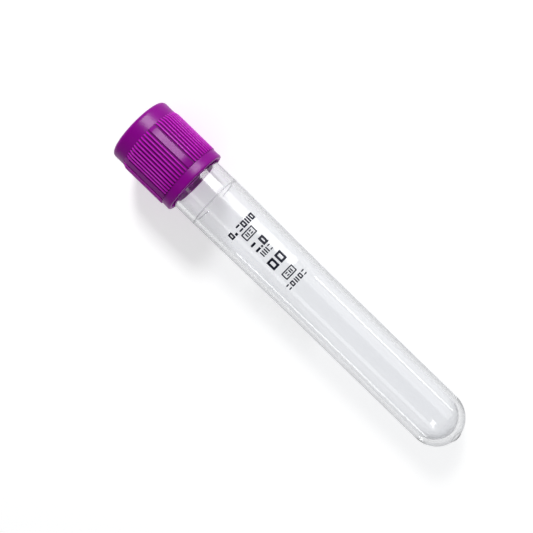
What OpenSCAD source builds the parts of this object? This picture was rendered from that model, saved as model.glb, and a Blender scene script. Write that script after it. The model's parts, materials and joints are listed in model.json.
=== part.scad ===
// Blood collection tube: a clear plastic tube with a round bottom, closed by a
// rubber stopper that sits inside a ribbed plastic shield, with a clear film
// label round the tube. It lies on its side, as it comes to rest on a bench.
//
// Every piece is drawn upright first: its axis is Z, z = 0 is the tip of the
// round bottom, and the closure is on top. lay_down() then places it.

/* [Tube] */
// Length of the tube from its tip to its open mouth
tube_length = 90.5; // [80:0.5:110]
// Outer diameter of the straight lower body
body_d = 12.7; // [12:0.1:12.9]
// Outer diameter of the neck, where the closure sits
neck_d = 13.2; // [13:0.1:13.6]
// Height at which the straight body ends and the widening starts
body_top = 46; // [30:1:60]
// Height at which the widening ends and the straight neck starts
neck_bottom = 74; // [65:1:76]
// Bore of the neck, which the stopper fits
neck_bore_d = 10.9; // [10.6:0.1:11.2]
// Bore where it meets the round bottom
body_bore_d = 10.7; // [10.2:0.1:10.8]
// Thickness of the round bottom at its tip
tip_wall = 1.4; // [1:0.1:2.5]
// Diameter of the moulding gate's pad on the tip
gate_d = 2.9; // [2:0.1:4]

/* [Shield] */
// Height of the shield from its rim to its top
shield_h = 17.3; // [15:0.1:20]
// How far the shield's top stands above the tube's mouth
head_room = 6; // [5.5:0.1:7]
// Height of the smooth band above the ribs
top_band_h = 3.4; // [2.5:0.1:4.5]
// Height of the smooth band below the ribs
rim_band_h = 2.2; // [2:0.1:3]
// Diameter of the smooth band above the ribs
top_band_d = 15.8; // [15.6:0.1:15.8]
// Diameter over the tips of the ribs
rib_tip_d = 16.5; // [16.4:0.1:17]
// Diameter of the lower band just under the ribs
waist_d = 15.98; // [15.8:0.02:16.04]
// Diameter of the lower band at its rim, small enough that the ribs carry it
rim_d = 16.1; // [15.9:0.02:16.12]
// Groups of ribs round the shield
rib_groups = 5; // [4:1:5]
// Ribs in each group
ribs_in_group = 10; // [6:1:10]
// Angle from one rib to the next, in degrees
rib_pitch = 5.7; // [5.4:0.1:5.8]
// Radius of the grooves between the ribs
groove_r = 0.3; // [0.2:0.02:0.34]
// How far each smooth panel lies inside the rib tips
panel_depth = 0.13; // [0.1:0.01:0.2]
// Inner diameter of the skirt
skirt_bore_d = 14.3; // [14.1:0.1:14.4]
// Thickness of the top plate
plate_t = 1.6; // [1.2:0.1:2]
// Diameter of the needle port in the top plate
port_d = 8; // [6:0.5:9]
// Rounding of the top edge
top_round = 0.9; // [0.4:0.1:1]
// Rounding of the rim's outer edge
rim_round = 0.35; // [0.2:0.05:0.4]

/* [Stopper] */
// Diameter of the plug inside the tube
plug_d = 10.8; // [10.4:0.1:10.8]
// How far inside the shield's rim the plug ends
plug_inside_rim = 0.9; // [0:0.05:2]
// Diameter of the flange above the tube's mouth
flange_d = 14.1; // [13.6:0.1:14.1]
// Diameter of the well in the plug's lower end
well_d = 6.6; // [5:0.1:7]
// Depth of that well
well_depth = 9.3; // [6:0.1:10]
// Diameter of the needle's target, sunk into the top of the flange
target_d = 7.6; // [5:0.1:7.8]
// Depth of that target
target_depth = 2.2; // [1:0.1:3]
// Bevel round the plug's lower end
plug_bevel = 0.4; // [0.2:0.05:0.6]

/* [Label] */
// Height of the film's lower edge
label_bottom = 46; // [46:0.5:50]
// Height of the film's upper edge
label_top = 73.6; // [60:0.1:73.8]
// Thickness of the film
label_t = 0.08; // [0.05:0.01:0.12]
// Angle that the film leaves bare at the back, in degrees
label_gap = 40; // [10:5:90]
// Turn of the film's middle from straight up, in degrees
label_turn = 21; // [0:1:45]

/* [Hidden] */

$fn = 96;
ov = 0.5;             // overlap between solids that are joined
glue_gap = 0.01;      // film of glue under the label
seat_gap = 0.02;      // gap between the flange and the tube's mouth
mouth_round = 0.35;   // rounding of the tube's mouth, inside and outside
bead_r = 0.3;         // bead inside the shield that holds the flange

body_r = body_d / 2;
neck_r = neck_d / 2;
bore_r = neck_bore_d / 2;
end_bore_r = body_bore_d / 2;
gate_r = gate_d / 2;
rib_r = rib_tip_d / 2;
panel_r = rib_r - panel_depth;
top_r = top_band_d / 2;
waist_r = waist_d / 2;
rim_r = rim_d / 2;
skirt_r = skirt_bore_d / 2;
plug_r = plug_d / 2;
flange_r = flange_d / 2;

// Heights along the upright tube.
total_h = tube_length + head_room;
rim_z = total_h - shield_h;
rib_bottom = rim_z + rim_band_h;
rib_top = total_h - top_band_h;
plate_z = total_h - plate_t;
plug_end = rim_z + plug_inside_rim;
flange_z = tube_length + seat_gap;

// The ribs of one group, and the smooth panel that fills the rest of its turn.
// The shield is turned so that a panel faces straight down.
group_angle = 360 / rib_groups;
group_span = ribs_in_group * rib_pitch;
panel_half = (group_angle - group_span) / 2;
first_group = 180 - group_angle / 2;

// Lying down: the lowest panel, or the two ribs beside it, and the round bottom
// both touch the bench, so the axis tilts up towards the wider closure.
contact_r = max(panel_r, rib_r * cos(panel_half + asin(groove_r / rib_r)));
contact_run = rib_bottom - body_r;
tilt = acos(body_r / norm([contact_run, contact_r])) - atan2(contact_run, contact_r);
tip_height = body_r * (1 - sin(tilt));
face_r = top_r - top_round;
mid_x = (total_h * cos(tilt) + (face_r - gate_r) * sin(tilt)) / 2;

module lay_down() {
    translate([mid_x, 0, tip_height]) rotate([0, tilt - 90, 0]) children();
}

// The tube's outer form, whole, as a half section: round bottom, straight
// body, widening, straight neck.
module tube_outline() {
    intersection() {
        translate([0, body_r]) circle(r = body_r);
        square([body_r, body_r]);
    }
    square([gate_r, ov]);
    polygon([
        [0, body_r], [body_r, body_r], [body_r, body_top], [neck_r, neck_bottom],
        [neck_r, tube_length - mouth_round], [neck_r - mouth_round, tube_length], [0, tube_length]
    ]);
    translate([neck_r - mouth_round, tube_length - mouth_round]) circle(r = mouth_round);
}

// The tube's bore, as a half section.
module bore_outline() {
    end_z = tip_wall + end_bore_r;
    intersection() {
        translate([0, end_z]) circle(r = end_bore_r);
        translate([0, tip_wall]) square([end_bore_r, end_bore_r]);
    }
    polygon([
        [0, end_z], [end_bore_r, end_z], [bore_r, neck_bottom],
        [bore_r, tube_length + ov], [0, tube_length + ov]
    ]);
}

module tube() {
    color([0.86, 0.88, 0.91, 0.4]) lay_down() rotate_extrude() difference() {
        tube_outline();
        bore_outline();
    }
}

// The stopper: a plug with a well in its end, and a flange with the needle's
// target sunk into its top.
module stopper() {
    color([0.40, 0.05, 0.42]) lay_down() rotate_extrude() difference() {
        union() {
            polygon([
                [0, plug_end], [plug_r - plug_bevel, plug_end], [plug_r, plug_end + plug_bevel],
                [plug_r, flange_z + ov], [0, flange_z + ov]
            ]);
            translate([0, flange_z]) square([flange_r, plate_z - flange_z]);
        }
        well_roof = plug_end + well_depth - well_d / 2;
        translate([0, plug_end - ov]) square([well_d / 2, well_roof - plug_end + ov]);
        intersection() {
            translate([0, well_roof]) circle(d = well_d);
            translate([0, well_roof - ov]) square([well_d, well_d]);
        }
        translate([0, plate_z - target_depth]) square([target_d / 2, target_depth + ov]);
    }
}

// Cross-section of the ribbed zone: a disc with a groove on each side of every
// rib, and a flat panel between one group of ribs and the next.
module rib_section() {
    difference() {
        circle(r = rib_r, $fn = 180);
        for (group = [0 : rib_groups - 1]) rotate(first_group + group * group_angle) {
            for (edge = [0 : ribs_in_group])
                rotate(edge * rib_pitch - group_span / 2) translate([rib_r, 0])
                    circle(r = groove_r, $fn = 24);
            rotate(group_angle / 2) translate([panel_r, -rib_r * sin(panel_half)])
                square([ov, 2 * rib_r * sin(panel_half)]);
        }
    }
}

// The shield without its bore: the ribbed zone between two smooth bands.
module shield_solid() {
    translate([0, 0, rib_bottom]) linear_extrude(rib_top - rib_bottom) rib_section();
    rotate_extrude() {
        translate([0, rib_top - ov]) square([top_r, total_h - top_round - rib_top + ov]);
        translate([0, rib_top]) square([face_r, total_h - rib_top]);
        translate([face_r, total_h - top_round]) circle(r = top_round);
    }
    rotate_extrude() {
        polygon([
            [0, rim_z], [rim_r - rim_round, rim_z], [rim_r, rim_z + rim_round],
            [waist_r, rib_bottom], [0, rib_bottom]
        ]);
        translate([rim_r - rim_round, rim_z + rim_round]) circle(r = rim_round);
    }
}

module shield() {
    color([0.56, 0.02, 0.58]) lay_down() difference() {
        shield_solid();
        rotate_extrude() difference() {
            translate([0, rim_z - ov]) square([skirt_r, plate_z - rim_z + ov]);
            translate([skirt_r, tube_length - bead_r - seat_gap]) circle(r = bead_r);
        }
        translate([0, 0, plate_z - ov]) cylinder(d = port_d, h = plate_t + 2 * ov);
    }
}

// The label: a film that follows the widening, open along the back.
module clear_label() {
    widening = (neck_r - body_r) / (neck_bottom - body_top);
    low_r = body_r + widening * (label_bottom - body_top) + glue_gap;
    high_r = body_r + widening * (label_top - body_top) + glue_gap;
    color([0.95, 0.96, 0.98, 0.3]) lay_down()
        rotate([0, 0, label_turn + label_gap / 2 - 180]) rotate_extrude(angle = 360 - label_gap) polygon([
            [low_r, label_bottom], [low_r + label_t, label_bottom],
            [high_r + label_t, label_top], [high_r, label_top]
        ]);
}

tube();
stopper();
shield();
clear_label();
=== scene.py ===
# %% [markdown]
# # A blood collection tube in Blender
# The object is a clear plastic tube with a round bottom. A purple closure sits on its mouth: a
# rubber stopper held in a ribbed plastic shield. A clear film label with dark print is wrapped
# round the upper half. It lies on its side on a white bench.
#
# A CAD model of the four pieces exists already, and its sizes are final. This lesson loads it as
# a fixed frame and builds a detailed mesh and a finish for each piece in the space that it holds.

# %% Load the frame
import json
import math

import bmesh
import bpy
import numpy as np
from mathutils import Matrix, Vector


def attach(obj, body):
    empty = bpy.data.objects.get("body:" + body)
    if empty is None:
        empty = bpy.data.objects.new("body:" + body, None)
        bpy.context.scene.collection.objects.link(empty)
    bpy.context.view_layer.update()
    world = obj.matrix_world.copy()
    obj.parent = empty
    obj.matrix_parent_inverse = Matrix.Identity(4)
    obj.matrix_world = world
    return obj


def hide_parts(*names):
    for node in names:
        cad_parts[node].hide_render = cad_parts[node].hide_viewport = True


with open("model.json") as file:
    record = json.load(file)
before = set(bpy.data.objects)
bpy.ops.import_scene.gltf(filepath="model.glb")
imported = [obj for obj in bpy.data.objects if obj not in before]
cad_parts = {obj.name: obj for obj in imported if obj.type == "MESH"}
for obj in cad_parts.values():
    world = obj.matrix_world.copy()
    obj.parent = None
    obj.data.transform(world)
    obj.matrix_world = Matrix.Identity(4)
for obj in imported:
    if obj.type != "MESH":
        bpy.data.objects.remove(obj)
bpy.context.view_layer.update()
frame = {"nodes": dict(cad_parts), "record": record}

print("CAD nodes:", ", ".join(sorted(frame["nodes"])))

# %% [markdown]
# ## One axis for everything
# Almost every piece is round about the tube's own axis, so it is easiest to build each one
# upright, with the axis along Z and the tip of the round bottom at zero, and to lay it down in
# its mesh at the end. The frame says how it lies: the mount on the tube's straight body gives a
# point on the axis, its direction towards the tip, and the body's radius and length. The lower
# end of that straight body is one radius above the tip.

# %% Find the tube's axis
MM = 0.001

mounts = {mount["name"]: mount for mount in frame["record"]["mounts"]}
body_mount = mounts["tube_body"]
body_r = body_mount["dims"]["r_mm"] * MM
body_top = body_r + body_mount["dims"]["length_mm"] * MM
to_tip = Vector(body_mount["axis"]).normalized()
tip = Vector(body_mount["pos_m"]) + to_tip * (body_r + body_top) / 2

up_axis = -to_tip
side_axis = Vector((0, 1, 0))
top_axis = side_axis.cross(up_axis)
lay_down = Matrix((top_axis, side_axis, up_axis)).transposed().to_4x4()
lay_down.translation = tip
stand_up = lay_down.inverted()
print("the axis leans", round(math.degrees(math.asin(up_axis.z)), 2), "degrees from level")

# %% [markdown]
# ## Sizes from the CAD nodes
# Stood upright, a vertex of a CAD node has a height along the axis and a distance from it.
# Those two numbers give every size that the lesson needs from the frame, such as where the
# shield's rim is or how wide the neck is.

# %% Measure the CAD nodes
def measure(node):
    """Heights along the axis and distances from it, of a CAD node's vertices."""
    points = np.array([stand_up @ vertex.co for vertex in frame["nodes"][node].data.vertices])
    return points[:, 2], np.hypot(points[:, 0], points[:, 1])


tube_length = float(measure("tube")[0].max())
neck_r = float(measure("tube")[1].max())
rim_z = float(measure("shield")[0].min())
top_z = float(measure("shield")[0].max())
rib_r = float(measure("shield")[1].max())
plug_end = float(measure("stopper")[0].min())
plate_z = float(measure("stopper")[0].max())
flange_r = float(measure("stopper")[1].max())
film_low = float(measure("clear_label")[0].min())
film_high = float(measure("clear_label")[0].max())
port_r = mounts["needle_port"]["dims"]["r_mm"] * MM
print("tube", round(tube_length / MM, 2), "mm long, neck", round(2 * neck_r / MM, 2), "mm wide")
print("shield from", round(rim_z / MM, 2), "to", round(top_z / MM, 2), "mm up the axis")
print("label from", round(film_low / MM, 2), "to", round(film_high / MM, 2), "mm")

# %% [markdown]
# ## Camera
# The camera comes early, because everything is judged through it. It could be placed by eye and
# aimed with a Track To constraint. Here its place is worked out round the tube's axis instead,
# because each number then has one plain effect: how far round the tube it hangs, how far up the
# axis and how far off. It faces nearly the middle of the film, a little nearer the closure than
# the middle of the tube, and is turned so that the tube runs from the upper left to the lower
# right of the picture. The tube's axis passes a little off the picture's centre.

# %% Place the camera
view_turn = math.radians(22.2)
camera_height = 56.5 * MM
camera_distance = 195.5 * MM
look_back = math.radians(-0.28)
off_axis = 2.2 * MM
picture_turn = math.radians(44.18)
lens_mm = 60.8
sensor_mm = 36
nearest = 10 * MM

outward = top_axis * math.cos(view_turn) + side_axis * math.sin(view_turn)
sideways = to_tip.cross(outward)
forward = -outward * math.cos(look_back) - to_tip * math.sin(look_back)
along = to_tip * math.cos(look_back) - outward * math.sin(look_back)
picture_right = along * math.cos(picture_turn) - sideways * math.sin(picture_turn)
picture_up = -along * math.sin(picture_turn) - sideways * math.cos(picture_turn)

camera = bpy.data.objects.new("camera", bpy.data.cameras.new("camera"))
camera.data.lens = lens_mm
camera.data.sensor_width = sensor_mm
camera.data.clip_start = nearest
camera.matrix_world = Matrix((picture_right, picture_up, -forward)).transposed().to_4x4()
camera.location = tip - to_tip * camera_height + outward * camera_distance + sideways * off_axis
bpy.context.scene.collection.objects.link(camera)
bpy.context.scene.camera = camera
print("camera at", [round(c / MM) for c in camera.location], "mm")

# %% [markdown]
# ## Turned pieces
# A lathe in code is a list of points on half a section, turned round the axis. Blender's Screw
# modifier does the same, but doing it directly gives full control of the poles: a point on the
# axis becomes one vertex and closes the shape. The outline runs anticlockwise, up the outside
# and down the inside, so every face looks outward. Round stretches of an outline are arcs.

# %% Outline and lathe helpers
def arc(centre_r, centre_z, radius, start, end, steps):
    """Points on a round stretch of an outline, between angles in degrees: 0 is outward, 90 up."""
    turns = np.radians(np.linspace(start, end, steps + 1))
    return [(centre_r + radius * math.cos(t), centre_z + radius * math.sin(t)) for t in turns]


def spaced(start, end, steps):
    """Points on a straight stretch, both ends included."""
    return [tuple(np.array(start) + (np.array(end) - np.array(start)) * k / steps)
            for k in range(steps + 1)]


def smooth_object(name, mesh, crease=35):
    """A smooth-shaded object from a mesh. Edges that fold by more than the crease stay sharp."""
    mesh.shade_smooth()
    mesh.set_sharp_from_angle(angle=math.radians(crease))
    piece = bpy.data.objects.new(name, mesh)
    bpy.context.scene.collection.objects.link(piece)
    return piece


def mesh_object(name, vertices, faces):
    """A smooth-shaded object from vertices and faces."""
    mesh = bpy.data.meshes.new(name)
    mesh.from_pydata(vertices, [], faces)
    mesh.validate()
    return smooth_object(name, mesh)


same_point = 1e-7


def lathe(name, outline, columns, closed=False):
    """Turns an outline of (distance, height) points. closed joins its last point to its first."""
    points = [p for k, p in enumerate(outline)
              if k == 0 or math.dist(p, outline[k - 1]) > same_point]
    turns = [2 * math.pi * k / columns for k in range(columns)]
    vertices, rings, faces = [], [], []
    for distance, height in points:
        if distance < same_point:
            rings.append([len(vertices)] * columns)
            vertices.append((0, 0, height))
        else:
            rings.append(list(range(len(vertices), len(vertices) + columns)))
            vertices += [(distance * math.cos(t), distance * math.sin(t), height) for t in turns]
    pairs = list(zip(rings, rings[1:])) + ([(rings[-1], rings[0])] if closed else [])
    for low, high in pairs:
        for k in range(columns):
            corners = [low[k], low[(k + 1) % columns], high[(k + 1) % columns], high[k]]
            faces.append(list(dict.fromkeys(corners)))
    return mesh_object(name, vertices, faces)


def settle(piece, body, node):
    """Lays a finished upright piece down, attaches it to its body, and hides its CAD node if it has
    one.
    """
    piece.data.transform(lay_down)
    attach(piece, body)
    if node:
        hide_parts(node)
    triangles = sum(len(face.vertices) - 2 for face in piece.data.polygons)
    print(piece.name, "on", body + ":", triangles, "triangles")


# %% [markdown]
# ## Node trees written as sums
# Shader and geometry maths soon fill a script with nodes and links. This small class wraps a
# socket, so that an expression such as `1 - ribs * 0.5` adds the Math nodes by itself. Any
# other node comes from `Tree.add`, which sets the node's own settings first and then its
# sockets, from values or from other wrapped sockets.

# %% The socket and tree classes
class Socket:
    """An output socket that takes part in sums."""

    def __init__(self, tree, socket):
        self.tree = tree
        self.socket = socket

    def math(self, operation, *values):
        return self.tree.add("ShaderNodeMath", {"operation": operation}, [self, *values])[0]

    def __add__(self, other):
        return self.math("ADD", other)

    __radd__ = __add__

    def __mul__(self, other):
        return self.math("MULTIPLY", other)

    __rmul__ = __mul__

    def __sub__(self, other):
        return self.math("SUBTRACT", other)

    def __rsub__(self, other):
        return (self * -1) + other

    def __truediv__(self, other):
        return self.math("DIVIDE", other)

    def __rtruediv__(self, other):
        return self.math("POWER", -1.0) * other

    def smooth(self, low, high, start=0.0, end=1.0):
        """A soft step: start below low, end above high."""
        return self.tree.add("ShaderNodeMapRange", {"interpolation_type": "SMOOTHSTEP"},
                             [self, low, high, start, end])[0]


class Tree:
    """A node tree that is filled by method calls."""

    def __init__(self, nodes, links):
        self.nodes = nodes
        self.links = links

    def add(self, kind, settings=None, inputs=()):
        """Adds a node and returns its enabled outputs. inputs is a list, or a dict by name."""
        node = self.nodes.new(kind)
        for key, value in (settings or {}).items():
            setattr(node, key, value)
        items = inputs.items() if isinstance(inputs, dict) else enumerate(inputs)
        open_inputs = [socket for socket in node.inputs if socket.enabled]
        for key, value in items:
            target = open_inputs[key] if isinstance(key, int) else node.inputs[key]
            if isinstance(value, Socket):
                self.links.new(value.socket, target)
            else:
                target.default_value = value
        return [Socket(self, socket) for socket in node.outputs if socket.enabled]

    def mix(self, factor, first, second):
        """A colour between two: the first where the factor is 0, the second where it is 1."""
        return self.add("ShaderNodeMix", {"data_type": "RGBA"}, [factor, first, second])[0]

    def noise(self, scale, detail):
        """Noise from 0 to 1 on the piece's Object coordinates, with scale lumps to the metre."""
        place = self.add("ShaderNodeTexCoord")[3]
        return self.add("ShaderNodeTexNoise", {}, {
            "Vector": place, "Scale": scale, "Detail": detail})[0]

    def attribute(self, name):
        """A number that the mesh carries at each point."""
        return self.add("ShaderNodeAttribute", {"attribute_name": name})[2]


def new_material(name):
    """An empty material and its tree."""
    material = bpy.data.materials.new(name)
    material.use_nodes = True
    material.node_tree.nodes.clear()
    return material, Tree(material.node_tree.nodes, material.node_tree.links)


def show(tree, shader):
    """Connects a shader to the material's output."""
    tree.add("ShaderNodeOutputMaterial", {}, {"Surface": shader})



# %% [markdown]
# ## The tube
# The real tube is injection moulded in clear plastic. Outside it has a straight body, a slight
# widening and a straight neck. Inside, the bore is nearly straight and ends in a round bottom
# whose tip is thicker than the wall. The small flat pad on the tip is where the melt entered
# the mould. A plain cylinder with a Solidify modifier would give a tube too, but with one wall
# all over. Light bends at every surface, so the wall is turned here with its true inner and
# outer faces, finely divided, and shaded smooth.

# %% Turn the tube
neck_bottom = 74 * MM
mouth_round = 0.35 * MM
mouth_inner_round = 0.2 * MM
neck_bore_r = 5.45 * MM
body_bore_r = 5.35 * MM
tip_wall = 1.4 * MM
gate_r = 1.45 * MM
gate_round = 0.12 * MM
gate_dimple = 0.03 * MM
gate_slope = 0.02 * MM
skin_ramp = 2 * MM
tube_columns = 256
dome_steps = 56

gate_edge = math.degrees(math.asin(gate_r / body_r))
bore_end = tip_wall + body_bore_r
tube_outline = [
    (0, gate_dimple),
    (0.35 * gate_r, gate_dimple),
    (0.6 * gate_r, gate_slope),
    *arc(gate_r - gate_round, gate_round, gate_round, -90, 0, 4),
    *arc(0, body_r, body_r, gate_edge - 90, 0, dome_steps),
    *spaced((body_r, body_r), (body_r, body_top), 12),
    *spaced((body_r, body_top), (neck_r, neck_bottom), 10),
    *spaced((neck_r, neck_bottom), (neck_r, tube_length - mouth_round), 6),
    *arc(neck_r - mouth_round, tube_length - mouth_round, mouth_round, 0, 90, 5),
    *arc(neck_bore_r + mouth_inner_round, tube_length - mouth_inner_round,
         mouth_inner_round, 90, 180, 4),
    *spaced((neck_bore_r, tube_length - mouth_inner_round), (neck_bore_r, neck_bottom), 6),
    *spaced((neck_bore_r, neck_bottom), (body_bore_r, bore_end), 20),
    *arc(0, bore_end, body_bore_r, 0, -90, dome_steps),
]
tube = lathe("tube_clear", tube_outline, tube_columns)
print("tube wall at the neck", round((neck_r - neck_bore_r) / MM, 2), "mm")


def mark_skin(piece):
    """Marks the outer skin and the round end with 1, and the straight bore and the rim of the
    mouth with 0, for the material."""
    points = np.array([vertex.co for vertex in piece.data.vertices])
    reach = np.linalg.norm(points - (0, 0, bore_end), axis=1)
    across = np.hypot(points[:, 0], points[:, 1])
    in_dome = np.clip((bore_end - points[:, 2]) / skin_ramp, 0, 1)
    inner = np.where(points[:, 2] < bore_end, reach, across) < neck_bore_r + mouth_inner_round
    below_rim = np.clip((tube_length - points[:, 2]) / mouth_round, 0, 1)
    attribute = piece.data.attributes.new("skin", "FLOAT", "POINT")
    attribute.data.foreach_set("value", np.where(inner, in_dome, below_rim))
    print("bore points:", int(inner.sum()), "of", len(points))


mark_skin(tube)

# %% [markdown]
# ## The stopper
# The stopper is one turned piece of soft rubber. Its plug fills the tube's mouth and has a deep
# well in its lower end, its flange lies on the mouth, and the target that the needle pierces is
# sunk into its top. Only the plug's end shows, through the clear neck below the shield's rim,
# and the target shows through the port in the top. Cylinders joined by a Boolean would leave
# hard edges, and rubber has none, so the stopper is one outline whose corners are arcs.

# %% Turn the stopper
plug_r = 5.4 * MM
plug_bevel = 0.4 * MM
well_r = 3.3 * MM
well_depth = 9.3 * MM
target_r = 3.8 * MM
target_depth = 2.2 * MM
target_lip = 0.35 * MM
rubber_round = 0.25 * MM
seat_gap = 0.02 * MM
stopper_columns = 160
flange_z = tube_length + seat_gap
well_roof = plug_end + well_depth - well_r

stopper_outline = [
    *arc(0, well_roof, well_r, 90, 0, 16),
    *spaced((well_r, well_roof), (well_r, plug_end + rubber_round), 4),
    *arc(well_r + rubber_round, plug_end + rubber_round, rubber_round, 180, 270, 5),
    *arc(plug_r - plug_bevel, plug_end + plug_bevel, plug_bevel, -90, 0, 8),
    *spaced((plug_r, plug_end + plug_bevel), (plug_r, flange_z), 6),
    *arc(flange_r - rubber_round, flange_z + rubber_round, rubber_round, -90, 0, 4),
    *arc(flange_r - rubber_round, plate_z - rubber_round, rubber_round, 0, 90, 4),
    *arc(target_r + target_lip, plate_z - target_lip, target_lip, 90, 180, 5),
    *arc(target_r - target_lip, plate_z - target_depth + target_lip, target_lip, 0, -90, 4),
    (0, plate_z - target_depth),
]
stopper = lathe("stopper_rubber", stopper_outline, stopper_columns)
print("the plug ends", round((plug_end - rim_z) / MM, 2), "mm inside the shield's rim")

# %% [markdown]
# ## The shield, plain
# The shield is a cap of hard plastic with a port in its top, moulded in one piece with its
# ribs. The ribs could be separate bars joined to a plain cap, but then they would meet it with
# hard seams. Here the cap's outline is turned first, with a shallow valley where the ribs will
# stand. It has many columns, because the ribs will be raised from them as one skin.

# %% Turn the shield without its ribs
shield_columns = 1200
skirt_r = 7.15 * MM
rim_r = 8.05 * MM
waist_r = 7.99 * MM
valley_r = 7.82 * MM
top_band_r = 7.9 * MM
rim_round = 0.35 * MM
rim_inner_round = 0.2 * MM
top_round = 0.9 * MM
port_round = 0.25 * MM
bead_r = 0.3 * MM
bead_z = tube_length - bead_r - seat_gap
rim_band_h = 2.2 * MM
top_band_h = 3.4 * MM
rib_bottom = rim_z + rim_band_h
rib_top = top_z - top_band_h
rib_slope = 0.9 * MM
rib_step = 0.14 * MM
slope_start = rib_top - rib_slope

shield_outline = [
    *arc(rim_r - rim_round, rim_z + rim_round, rim_round, -90, 0, 6),
    *spaced((rim_r, rim_z + rim_round), (waist_r, rib_bottom - rib_step), 3),
    (waist_r, rib_bottom),
    *spaced((valley_r, rib_bottom), (valley_r, rib_bottom + rib_step), 5),
    *spaced((valley_r, rib_bottom + rib_step), (valley_r, slope_start), 4),
    *spaced((valley_r, slope_start), (valley_r, rib_top), 13),
    (top_band_r, rib_top),
    *spaced((top_band_r, rib_top + rib_step), (top_band_r, top_z - top_round), 3),
    *arc(top_band_r - top_round, top_z - top_round, top_round, 0, 90, 8),
    *arc(port_r + port_round, top_z - port_round, port_round, 90, 180, 4),
    (port_r, plate_z),
    (skirt_r, plate_z),
    *arc(skirt_r, bead_z, bead_r, 90, 270, 6),
    *arc(skirt_r + rim_inner_round, rim_z + rim_inner_round, rim_inner_round, 180, 270, 3),
]
shield = lathe("shield_plain", shield_outline, shield_columns, closed=True)
print("shield wall", round((valley_r - skirt_r) / MM, 2), "mm in its valleys")

# %% [markdown]
# ## The ribs, by Geometry Nodes
# The ribs follow a rule: groups of ten, with a smooth panel between one group and the next. An
# Array modifier could repeat one rib, but not run it into the cap's skin. A rule for a whole
# surface is what Geometry Nodes are for. The tree reads each vertex's angle and height, works
# out how far it is from the middle of the nearest groove, and pushes it out to a crown unless it
# lies in the groove. The crowns slope down at the top and step down at the bottom. The sizes
# are the modifier's inputs.

# %% Geometry tree helpers
def new_geometry_tree(name, inputs):
    """A geometry tree with named number inputs and a material input."""
    group = bpy.data.node_groups.new(name, "GeometryNodeTree")
    face = group.interface
    face.new_socket("Geometry", in_out="INPUT", socket_type="NodeSocketGeometry")
    face.new_socket("Geometry", in_out="OUTPUT", socket_type="NodeSocketGeometry")
    for label in inputs:
        face.new_socket(label, in_out="INPUT", socket_type="NodeSocketFloat")
    face.new_socket("Material", in_out="INPUT", socket_type="NodeSocketMaterial")
    tree = Tree(group.nodes, group.links)
    sockets = {s.socket.name: s for s in tree.add("NodeGroupInput") if s.socket.name}
    return group, tree, sockets


def store_number(tree, geometry, name, value):
    """Keeps a number on each point of the mesh, where the material can read it."""
    return tree.add("GeometryNodeStoreNamedAttribute", {"data_type": "FLOAT", "domain": "POINT"}, {
        "Geometry": geometry, "Name": name, "Value": value})[0]


def end_geometry_tree(tree, geometry, material):
    """Ends a tree in Realize Instances and Set Material."""
    real = tree.add("GeometryNodeRealizeInstances", {}, [geometry])[0]
    dressed = tree.add("GeometryNodeSetMaterial", {}, {"Geometry": real, "Material": material})[0]
    tree.add("NodeGroupOutput", {}, [dressed])


def bake_geometry(piece, group, values, name):
    """Runs a geometry tree on a piece and returns the result as a plain mesh object."""
    modifier = piece.modifiers.new(group.name, "NODES")
    modifier.node_group = group
    for item in group.interface.items_tree:
        if item.item_type == "SOCKET" and item.in_out == "INPUT" and item.name in values:
            modifier[item.identifier] = values[item.name]
    bpy.context.view_layer.update()
    evaluated = piece.evaluated_get(bpy.context.evaluated_depsgraph_get())
    mesh = bpy.data.meshes.new_from_object(evaluated)
    mesh.name = name
    piece.modifiers.remove(modifier)
    made = bpy.data.objects.new(name, mesh)
    bpy.context.scene.collection.objects.link(made)
    bpy.data.objects.remove(piece)
    return made


# %% [markdown]
# ### The rib tree
# The tree has four stages: where a point is, counted in ribs; how far out the crowns and panels
# stand there; the groove that is cut between them; and the push. Only points that lie in the
# valley of the outer skin are pushed, so the bore and the smooth bands keep their shape.

# %% Find where a point is, counted in ribs
rib_inputs = ["Groups", "Ribs in a group", "Rib pitch", "Rib radius", "Panel radius",
              "Valley radius", "Band radius", "Skin radius", "Bottom", "Top", "Slope", "Step",
              "Groove half width", "Groove floor"]
rib_group, tree, given = new_geometry_tree("rib_band", rib_inputs)
place = tree.add("GeometryNodeInputPosition")[0]
x, y, z = tree.add("ShaderNodeSeparateXYZ", {}, [place])
distance = (x * x + y * y).math("SQRT")
angle = y.math("ARCTAN2", x)
sector = 2 * math.pi / given["Groups"]
from_group = angle.math("WRAP", sector * 0.5, sector * -0.5)

# The count is 0 at one edge of a group and the number of its ribs at the other edge.
count = from_group / given["Rib pitch"] + given["Ribs in a group"] * 0.5
nearest_groove = count.math("ROUND").math("MAXIMUM", 0.0).math("MINIMUM", given["Ribs in a group"])
from_groove = (count - nearest_groove).math("ABSOLUTE") * given["Rib pitch"] * given["Rib radius"]
half_group = given["Ribs in a group"] * given["Rib pitch"] * 0.5
in_panel = from_group.math("ABSOLUTE").math("GREATER_THAN", half_group)
print("rib tree:", len(rib_group.nodes), "nodes to find the nearest groove")

# %% Give the crowns and the panels their height, with a slope at the top
from_panel = from_group.math("ABSOLUTE") - sector * 0.5
panel_flat = (given["Panel radius"] / from_panel.math("COSINE")).math("MINIMUM", given["Rib radius"])
full = given["Rib radius"] + (panel_flat - given["Rib radius"]) * in_panel
sloping = given["Band radius"] + (given["Top"] - z) / given["Slope"] * (full - given["Band radius"])
crown = full.math("MINIMUM", sloping)
print("rib tree:", len(rib_group.nodes), "nodes up to the crowns")

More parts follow.
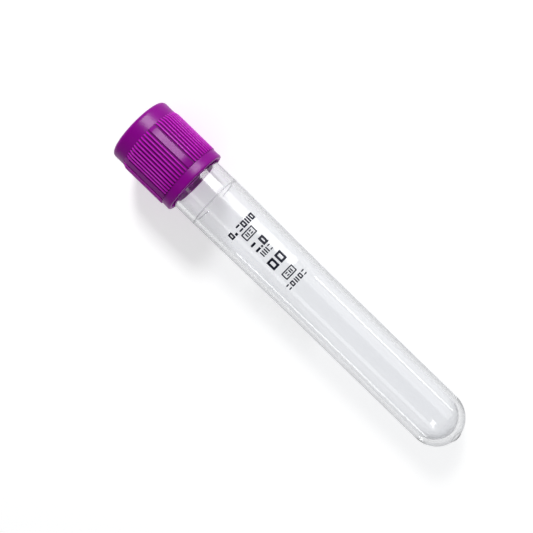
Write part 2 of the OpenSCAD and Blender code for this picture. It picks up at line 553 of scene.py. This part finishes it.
# %% Cut the grooves, whose round shoulders run up to the crowns
hair = 1e-6
valley_play = 1e-5
shoulder = from_groove.smooth(given["Groove floor"], given["Groove half width"])
low_end = z.smooth(given["Bottom"] - hair, given["Bottom"] + given["Step"])
surface = given["Valley radius"] + shoulder * low_end * (crown - given["Valley radius"])
outer = distance.math("GREATER_THAN", given["Skin radius"])
in_band = z.math("GREATER_THAN", given["Bottom"] - hair) * z.math("LESS_THAN", given["Top"] + hair)
in_valley = distance.math("LESS_THAN", given["Valley radius"] + valley_play)
on_skin = outer * in_band * in_valley
print("rib tree:", len(rib_group.nodes), "nodes up to the grooves")

# %% Push the points out
push = (surface - distance) * on_skin
radial = tree.add("ShaderNodeCombineXYZ", {}, [x / distance, y / distance, 0.0])[0]
offset = tree.add("ShaderNodeVectorMath", {"operation": "SCALE"}, [radial, push])[0]

# How deep a point lies in a groove, and how high on a rib, is kept on the mesh for the material.
# It is stored before the points move, because a field reads the points where they are by then.
marked = store_number(tree, given["Geometry"], "groove", (1 - shoulder) * on_skin)
marked = store_number(tree, marked, "rib", shoulder * (1 - in_panel) * on_skin)
moved = tree.add("GeometryNodeSetPosition", {}, {"Geometry": marked, "Offset": offset})[0]
end_geometry_tree(tree, moved, given["Material"])
print("rib tree:", len(rib_group.nodes), "nodes in all")

# %% [markdown]
# ## Purple plastic
# The shield is moulded in a deep purple with a satin skin. A plain colour would do from afar.
# Close up the colour is a touch uneven. The ribs stand out more than one colour and these lamps
# would show, so a painted highlight makes their crowns lighter, and painted shade makes the
# grooves darker; the grooves are also duller. That is a choice, and no property of the plastic.
# An image of ribs could be painted for it, but it would have to be lined up with them. The two
# numbers that the rib tree keeps on the mesh follow the ribs exactly, so they place the painted
# highlight and shade, and the groove's drives the roughness too. The skin also has a very fine
# grain, which spreads the highlights without showing as dots.

# %% Make the purple plastic
purple_low = (0.26, 0.0002, 0.265, 1)
purple_high = (0.295, 0.0004, 0.30, 1)
# The crown colour is a painted highlight, and the groove colour is painted shade.
purple_painted_highlight = (0.62, 0.010, 0.60, 1)
purple_painted_shade = (0.11, 0.0, 0.115, 1)
groove_shade_share = 0.62


def purple_plastic():
    material, tree = new_material("purple_plastic")
    grain = tree.noise(9000.0, 2.0)
    groove = tree.attribute("groove")
    colour = tree.mix(tree.noise(180.0, 3.0), purple_low, purple_high)
    # Painted highlight on the rib crowns, then painted shade in the grooves.
    colour = tree.mix(tree.attribute("rib"), colour, purple_painted_highlight)
    colour = tree.mix(groove * groove_shade_share, colour, purple_painted_shade)
    bump = tree.add("ShaderNodeBump", {}, {
        "Height": grain, "Strength": 0.2, "Distance": 0.02 * MM})[0]
    shader = tree.add("ShaderNodeBsdfPrincipled", {}, {
        "Base Color": colour, "Roughness": grain * 0.08 + 0.27 + groove * 0.3, "Normal": bump,
        "IOR": 1.5, "Specular IOR Level": 0.08})[0]
    show(tree, shader)
    return material


# %% Raise the ribs
rib_groups = 5.0
ribs_in_group = 10.0
rib_pitch = math.radians(5.7)
panel_depth = 0.13 * MM
groove_half = 0.31 * MM
groove_floor = 0.12 * MM
bore_margin = 0.3 * MM

shield = bake_geometry(shield, rib_group, {
    "Groups": rib_groups, "Ribs in a group": ribs_in_group, "Rib pitch": rib_pitch,
    "Rib radius": rib_r, "Panel radius": rib_r - panel_depth, "Valley radius": valley_r,
    "Band radius": top_band_r, "Skin radius": skirt_r + bore_margin, "Bottom": rib_bottom,
    "Top": rib_top, "Slope": rib_slope, "Step": rib_step, "Groove half width": groove_half,
    "Groove floor": groove_floor, "Material": purple_plastic()}, "shield_purple")
settle(shield, "closure", "shield")

# %% [markdown]
# ## Purple rubber
# The stopper's rubber is nearly the shield's purple, with a softer sheen. Subsurface scattering
# could make it look soft, but such dark rubber lets hardly any light in, so a rough Principled
# surface is enough. Its skin is slightly uneven and a little shinier in places, so one noise
# drives the colour, the roughness and the bump together.

# %% Make the rubber
rubber_low = (0.23, 0.0003, 0.235, 1)
rubber_high = (0.27, 0.0006, 0.275, 1)


def purple_rubber():
    material, tree = new_material("purple_rubber")
    skin = tree.noise(1500.0, 4.0)
    bump = tree.add("ShaderNodeBump", {}, {
        "Height": skin, "Strength": 0.4, "Distance": 0.03 * MM})[0]
    shader = tree.add("ShaderNodeBsdfPrincipled", {}, {
        "Base Color": tree.mix(skin, rubber_low, rubber_high), "Roughness": skin * 0.2 + 0.38,
        "Normal": bump, "IOR": 1.52, "Specular IOR Level": 0.12})[0]
    show(tree, shader)
    return material


stopper.data.materials.append(purple_rubber())
settle(stopper, "closure", "stopper")

# %% [markdown]
# ## Clear plastic
# The tube's plastic is clear with a faint cool tint. A mix of Glossy and Transparent is quick,
# but nothing behind it would look bent. The Principled shader with Transmission bends light as
# the real wall does.
#
# On a white bench such a tube would nearly vanish, because what it bends is white as well. A
# real one shows grey lines along its sides, where the skin is seen at a slant. Real plastic is
# no darker there: it bends the dark parts of a real room into view. Black cards round the bench
# would do that, but would also spoil its white. So the tint darkens at a slant instead, by Layer
# Weight. The skin number keeps that off the bore and the mouth's rim, where light that runs
# inside the wall would meet the dark tint many times.
#
# Lamps cannot shine through such glass by themselves, so a Light Path node swaps in a plain
# tinted Transparent shader for shadow rays. Light that the bench scatters gets one too, a nearly
# clear one. The tube's shadow then comes out pale, and free of noise.

# %% Make the clear plastic
tint_facing = (0.985, 0.99, 1, 1)
tint_slanting = (0.014, 0.02, 0.04, 1)
scattered_tint = (0.978, 0.982, 0.992, 1)
shadow_tint = (0.87, 0.873, 0.88, 1)
slant_power = 1.35


def clear_plastic():
    material, tree = new_material("clear_plastic")
    facing = tree.add("ShaderNodeLayerWeight", {}, {"Blend": 0.5})[1]
    slant = facing.math("POWER", slant_power) * tree.attribute("skin")
    glass = tree.add("ShaderNodeBsdfPrincipled", {}, {
        "Base Color": tree.mix(slant, tint_facing, tint_slanting), "Roughness": 0.0,
        "IOR": 1.52, "Transmission Weight": 1.0})[0]
    scattered = tree.add("ShaderNodeBsdfTransparent", {}, {"Color": scattered_tint})[0]
    shadow = tree.add("ShaderNodeBsdfTransparent", {}, {"Color": shadow_tint})[0]
    is_shadow, is_scattered = tree.add("ShaderNodeLightPath")[1:3]
    body = tree.add("ShaderNodeMixShader", {}, [is_scattered, glass, scattered])[0]
    show(tree, tree.add("ShaderNodeMixShader", {}, [is_shadow, body, shadow])[0])
    return material


tube.data.materials.append(clear_plastic())
settle(tube, "tube", "tube")

# %% [markdown]
# ## Wrapping the label
# The label is a clear film, cut flat, printed flat and then wrapped round the tube. A
# Shrinkwrap modifier could press it onto the wall, but would stretch it on the way. A formula
# does not: the film and every printed mark are drawn flat, as closed outlines with a thickness,
# and one geometry tree bends them onto the tube's slightly conical wall.

# %% Build the wrap tree
wrap_inputs = ["Lower height", "Upper height", "Lower radius", "Upper radius", "Turn", "Lift"]
wrap_group, tree, given = new_geometry_tree("wrap_on_tube", wrap_inputs)
place = tree.add("GeometryNodeInputPosition")[0]
x, y, z = tree.add("ShaderNodeSeparateXYZ", {}, [place])
share = (y - given["Lower height"]) / (given["Upper height"] - given["Lower height"])
wall = given["Lower radius"] + share * (given["Upper radius"] - given["Lower radius"])
mean = (given["Lower radius"] + given["Upper radius"]) * 0.5
turn = x / mean + given["Turn"]
reach = wall + z + given["Lift"]
wrapped = tree.add("ShaderNodeCombineXYZ", {}, [
    reach * turn.math("COSINE"), reach * turn.math("SINE"), y])[0]

# How far up the label a point lies is stored before it bends, for the film's edge.
marked = store_number(tree, given["Geometry"], "share", share)
bent = tree.add("GeometryNodeSetPosition", {}, {"Geometry": marked, "Position": wrapped})[0]
end_geometry_tree(tree, bent, given["Material"])
print("wrap tree:", len(wrap_group.nodes), "nodes")

# %% [markdown]
# ## Flat plates
# The film and the marks are thin plates, some with holes. Their faces could be typed in as a
# mesh, but a filled 2D curve works out by itself which outline is a hole in which other one.
# The result is then cut into narrow strips, because a long flat face cannot bend.

# %% Outline and plate helpers
def rounded(cx, cy, width, height, corner, steps=5):
    """The outline of a rounded box as (x, y) points, anticlockwise."""
    corners = [(1, 1, 0), (-1, 1, 90), (-1, -1, 180), (1, -1, 270)]
    return [point for sx, sy, start in corners
            for point in arc(cx + sx * (width / 2 - corner), cy + sy * (height / 2 - corner),
                             corner, start, start + 90, steps)]


def flat_piece(name, outlines, thickness, strip):
    """A flat closed plate from 2D outlines. Outlines inside others are holes. The curve is filled
    in millimetres, because Blender's fill merges points closer than 0.03 units. Long faces are
    cut into strips across x, so that the plate can bend."""
    curve = bpy.data.curves.new(name, "CURVE")
    curve.dimensions = "2D"
    curve.fill_mode = "BOTH"
    curve.extrude = thickness / 2 / MM
    for outline in outlines:
        spline = curve.splines.new("POLY")
        spline.points.add(len(outline) - 1)
        for point, (px, py) in zip(spline.points, outline):
            point.co = (px / MM, py / MM, 0, 1)
        spline.use_cyclic_u = True
    drawn = bpy.data.objects.new(name, curve)
    mesh = bpy.data.meshes.new_from_object(drawn)
    mesh.transform(Matrix.Scale(MM, 4))
    bpy.data.objects.remove(drawn)
    work = bmesh.new()
    work.from_mesh(mesh)
    bmesh.ops.remove_doubles(work, verts=work.verts, dist=same_point)
    low = min(v.co.x for v in work.verts)
    high = max(v.co.x for v in work.verts)
    for k in range(math.floor(low / strip) + 1, math.ceil(high / strip)):
        geometry = work.verts[:] + work.edges[:] + work.faces[:]
        bmesh.ops.bisect_plane(work, geom=geometry, plane_co=(k * strip, 0, 0), plane_no=(1, 0, 0))
    bmesh.ops.recalc_face_normals(work, faces=work.faces)
    work.to_mesh(mesh)
    work.free()
    return smooth_object(name, mesh, crease=40)


# %% [markdown]
# ## Clear film
# The film is glued down all over, so it could be given the same glass as the tube. But two thin
# glass layers so close together cost many bounces and stay noisy. A nearly invisible skin with a
# thin gloss looks the same, so Alpha is close to 0. It rises along the film's upper edge, where
# the cut shows as a faint grey line on the real label. The film is slightly wavy.

# %% Make the film
film_white = (0.95, 0.955, 0.965, 1)
film_edge = (0.5, 0.505, 0.52, 1)
edge_start = 0.987
edge_full = 0.991


def clear_film():
    material, tree = new_material("clear_film")
    ripple = tree.noise(60.0, 0.0)
    bump = tree.add("ShaderNodeBump", {}, {
        "Height": ripple, "Strength": 0.15, "Distance": 0.1 * MM})[0]
    edge = tree.attribute("share").smooth(edge_start, edge_full)
    shader = tree.add("ShaderNodeBsdfPrincipled", {}, {
        "Base Color": tree.mix(edge, film_white, film_edge), "Roughness": ripple * 0.1 + 0.16,
        "Normal": bump, "IOR": 1.45, "Alpha": edge * 0.3 + 0.012})[0]
    show(tree, shader)
    return material


# %% Cut the film and wrap it
film_t = 0.08 * MM
glue_gap = 0.01 * MM
film_corner = 0.8 * MM
film_strip = 0.25 * MM
film_gap = math.radians(40)
film_turn = math.radians(21)
widening = (neck_r - body_r) / (neck_bottom - body_top)
low_r = body_r + widening * (film_low - body_top)
high_r = body_r + widening * (film_high - body_top)
wrap = {"Lower height": film_low, "Upper height": film_high, "Lower radius": low_r,
        "Upper radius": high_r, "Turn": film_turn}

film_width = (2 * math.pi - film_gap) * (low_r + high_r) / 2
film_outline = rounded(0, (film_low + film_high) / 2, film_width, film_high - film_low, film_corner)
film = flat_piece("film_flat", [film_outline], film_t, film_strip)
film = bake_geometry(film, wrap_group, wrap | {
    "Lift": glue_gap + film_t / 2, "Material": clear_film()}, "label_film")
settle(film, "tube", "clear_label")

# %% [markdown]
# ## Print
# The real film carries dark print. It is given here as plain signs of the same weight: hollow
# boxes, bars, posts and dots in rows, two outlined fields and a pair of bold hollow boxes. They
# are drawn across the tube, one row below the other, as print on such a label is read. Print
# could be a picture on the film, but outlines stay sharp at any distance and need no picture
# file. Each mark has the ink's thickness, and is wrapped by the same tree as the film.

# %% Draw one sign
mark_corner = 0.06
frame_corner = 0.1
hole_corner = 0.03
third_bar_room = 0.3


def block(across, up, width, height, corner=mark_corner):
    """A solid mark, sizes in mm. across runs round the tube and up along it."""
    corner = min(corner, 0.45 * width, 0.45 * height)
    return [rounded(across * MM, up * MM, width * MM, height * MM, corner * MM)]


def frame_mark(across, up, width, height, stroke):
    """A hollow mark: two boxes, the inner one a hole."""
    return (block(across, up, width, height, frame_corner)
            + block(across, up, width - 2 * stroke, height - 2 * stroke, hole_corner))


def bars(across, up, width, height, stroke):
    """Bars that lie across the tube, one below the other: three in a tall sign, else two."""
    count = 3 if height > 5 * stroke + third_bar_room else 2
    step = (height - stroke) / (count - 1)
    return [mark for k in range(count)
            for mark in block(across, up - height / 2 + stroke / 2 + k * step, width, stroke)]


def posts(across, up, width, height, stroke):
    """Two upright strokes side by side."""
    reach = (width - stroke) / 2
    return block(across - reach, up, stroke, height) + block(across + reach, up, stroke, height)


def dot(across, up, width, height, stroke):
    """A small block at the foot of a row."""
    return block(across, up - height / 2 + width / 2, width, width)



# %% Draw the rows
def row(up, signs, height, stroke, gap):
    """Marks side by side, centred on the print's middle. signs are (maker, width) pairs, and a
    pair without a maker is a space."""
    total = sum(width for _, width in signs) + gap * (len(signs) - 1)
    start = -total / 2
    marks = []
    for maker, width in signs:
        if maker:
            marks += maker(start + width / 2, up, width, height, stroke)
        start += width + gap
    return marks


# A row gives its place up the tube, its signs with their widths, then the height, the stroke
# and the gap that they share, all in mm. An outlined field is a frame with a short row inside.
marks = (
    row(65.25, [(frame_mark, 1.05), (dot, 0.6), (None, 0.15), (bars, 0.95), (frame_mark, 1.05),
                (posts, 0.95), (frame_mark, 1.05)], 1.5, 0.38, 0.22)
    + frame_mark(0, 63.05, 3.1, 1.85, 0.28) + row(63.05, [(posts, 0.75), (bars, 0.6)], 0.9, 0.28, 0.3)
    + row(60.0, [(bars, 1.25), (dot, 0.46), (frame_mark, 1.35)], 2.0, 0.52, 0.22)
    + row(57.95, [(posts, 0.8), (posts, 0.8), (bars, 0.7)], 1.3, 0.29, 0.24)
    + row(54.95, [(frame_mark, 1.75), (frame_mark, 1.75)], 2.3, 0.52, 0.5)
    + frame_mark(0, 51.35, 3.1, 1.75, 0.28) + row(51.35, [(bars, 0.6), (posts, 0.75)], 0.85, 0.28, 0.3)
    + row(49.15, [(bars, 0.75), (frame_mark, 0.9), (posts, 0.8), (frame_mark, 0.9),
                  (bars, 0.75)], 1.2, 0.3, 0.3)
)
print(len(marks), "outlines in the print")

# %% [markdown]
# ## Ink
# Printing ink dries to a thin, nearly black blue layer, thicker in some places than in others.
# One flat black would look like a hole in the film, so a fine noise varies the colour and the
# gloss a little. The gloss is kept low, so that the streaks of light on the tube stay off it.

# %% Make the ink and wrap the print
ink_thick = (0.004, 0.005, 0.013, 1)
ink_thin = (0.010, 0.012, 0.028, 1)
ink_t = 0.012 * MM
mark_strip = 0.2 * MM
mark_turn = math.radians(24.5)


def ink():
    material, tree = new_material("ink")
    patch = tree.noise(2500.0, 2.0)
    shader = tree.add("ShaderNodeBsdfPrincipled", {}, {
        "Base Color": tree.mix(patch, ink_thick, ink_thin), "Roughness": patch * 0.15 + 0.3,
        "IOR": 1.45, "Specular IOR Level": 0.1})[0]
    show(tree, shader)
    return material


print_marks = flat_piece("marks_flat", marks, ink_t, mark_strip)
print_marks = bake_geometry(print_marks, wrap_group, wrap | {
    "Turn": mark_turn, "Lift": glue_gap + film_t + ink_t, "Material": ink()}, "label_print")
settle(print_marks, "tube", None)

# %% [markdown]
# ## Bench
# Clear plastic looks cleanest on a white table that is also lit from below, where its shadow
# stays pale. A lamp under a translucent table could do that. Here the bench is one plane that
# scatters light and glows a little as well, because that gives the same look without noise.

# %% Lay the bench
bench_reach = 1.5
bench_colour = (0.9, 0.9, 0.9, 1)
glow_colour = (1, 1, 1, 1)
bench_glow = 0.46


def bench_white():
    material, tree = new_material("bench_white")
    white = tree.add("ShaderNodeBsdfDiffuse", {}, {"Color": bench_colour})[0]
    glow = tree.add("ShaderNodeEmission", {}, {"Color": glow_colour, "Strength": bench_glow})[0]
    show(tree, tree.add("ShaderNodeAddShader", {}, [white, glow])[0])
    return material


bench_corners = [(bench_reach * x, bench_reach * y, 0) for x, y in ((-1, -1), (1, -1), (1, 1), (-1, 1))]
bench = mesh_object("bench", bench_corners, [(0, 1, 2, 3)])
bench.data.materials.append(bench_white())
print("bench", 2 * bench_reach, "m wide, glow", bench_glow)

# %% [markdown]
# ## Lamps
# A studio lights clear things with big soft lamps, each of which shows in the gloss as a streak.
# One lamp could do both jobs, but then no streak could be moved without moving the shadow. So
# the jobs are split by ray visibility. Of the lamps, only the high softbox lights the scene, and
# it throws the soft shadow. The others are only seen mirrored. The tube's softbox and the short
# one past its end give the upper body and the neck their white streak, and the closure's gives
# the closure its broad highlight. The diffusers give a dim sheen, and the strips a thin bright
# line along each side. The closure's softbox is also seen through the clear wall, where it
# makes the spot in the round end.

# %% Hang the lamps
def around(turn, height, distance):
    """A point round the tube's axis: turn in degrees from straight up towards +Y."""
    t = math.radians(turn)
    return (tip + up_axis * height
            + (top_axis * math.cos(t) + side_axis * math.sin(t)) * distance)


def softbox(name, turn, height, distance, length, width, radiance, aim_height=None, lights=False,
            through=False):
    """A rectangular lamp that faces the tube, its length along the axis. It either lights the
    scene or is seen mirrored in gloss, and through lets it show through the clear wall too."""
    data = bpy.data.lights.new(name, "AREA")
    data.shape = "RECTANGLE"
    data.size = length
    data.size_y = width
    data.energy = radiance * math.pi * length * width
    lamp = bpy.data.objects.new(name, data)
    place = around(turn, height, distance)
    aim = (around(0, height if aim_height is None else aim_height, 0) - place).normalized()
    across = up_axis.cross(aim).normalized()
    long_way = aim.cross(across)
    lamp.matrix_world = Matrix((long_way, across, -aim)).transposed().to_4x4()
    lamp.location = place
    lamp.visible_diffuse = lights
    lamp.visible_glossy = not lights
    lamp.visible_transmission = through
    bpy.context.scene.collection.objects.link(lamp)
    print(name, "at", turn, "degrees,", round(1000 * distance), "mm off the axis")


softbox("tube_softbox", turn=70.6, height=0.085, distance=0.40, length=0.10, width=0.28, radiance=4.6)
softbox("neck_softbox", turn=70.6, height=0.122, distance=0.39, length=0.03, width=0.28, radiance=5.5)
softbox("closure_softbox", turn=57, height=0.19, distance=0.40, length=0.10, width=0.22,
        radiance=54.0, aim_height=0.09, through=True)
softbox("side_diffuser", turn=62, height=0.02, distance=0.45, length=0.5, width=0.26, radiance=1.8)
softbox("far_diffuser", turn=-18, height=0.0, distance=0.45, length=0.27, width=0.11, radiance=2.2)
softbox("low_strip", turn=88, height=-0.065, distance=0.45, length=0.17, width=0.045, radiance=7.5)
softbox("far_strip", turn=-68, height=-0.04, distance=0.45, length=0.22, width=0.05, radiance=6.5)
softbox("high_softbox", turn=46, height=0.63, distance=0.90, length=0.20, width=0.17,
        radiance=60.0, aim_height=0.05, lights=True)

# %% [markdown]
# ## Room
# A pale room fills the shadows and shows in every gloss. One even white would make the clear
# wall look flat, so the room is brighter around and darker overhead, and the top of the tube
# mirrors the darker part. Standard view keeps the bench a clean white.

# %% Paint the room
room_white = (0.98, 0.99, 1, 1)
wall_glow = 0.42
ceiling_glow = 0.22
ceiling_starts = 0.6
ceiling_full = 0.85

world = bpy.data.worlds.new("pale_room")
world.use_nodes = True
world.node_tree.nodes.clear()
tree = Tree(world.node_tree.nodes, world.node_tree.links)
direction = tree.add("ShaderNodeTexCoord")[0]
height = tree.add("ShaderNodeSeparateXYZ", {}, [direction])[2]
glow = height.smooth(ceiling_starts, ceiling_full, wall_glow, ceiling_glow)
shade = tree.add("ShaderNodeBackground", {}, {"Color": room_white, "Strength": glow})[0]
tree.add("ShaderNodeOutputWorld", {}, {"Surface": shade})
bpy.context.scene.world = world
bpy.context.scene.view_settings.view_transform = "Standard"
print("room glow", wall_glow, "around and", ceiling_glow, "overhead")

# %% [markdown]
# ## Long light paths
# The clear wall guides light: a path can run inside it from the round end to the mouth, and is
# mirrored dozens of times on the way. Cycles stops a path after a set number of bounces and
# leaves it black, which would draw a black ring round the open mouth. A fake glass without
# refraction would avoid that, but would not look solid, so the limits are raised instead.

# %% Allow long light paths
cycles = bpy.context.scene.cycles
cycles.max_bounces = 96
cycles.glossy_bounces = 96
cycles.transmission_bounces = 48
cycles.transparent_max_bounces = 32
print("a path may bounce", cycles.max_bounces, "times")
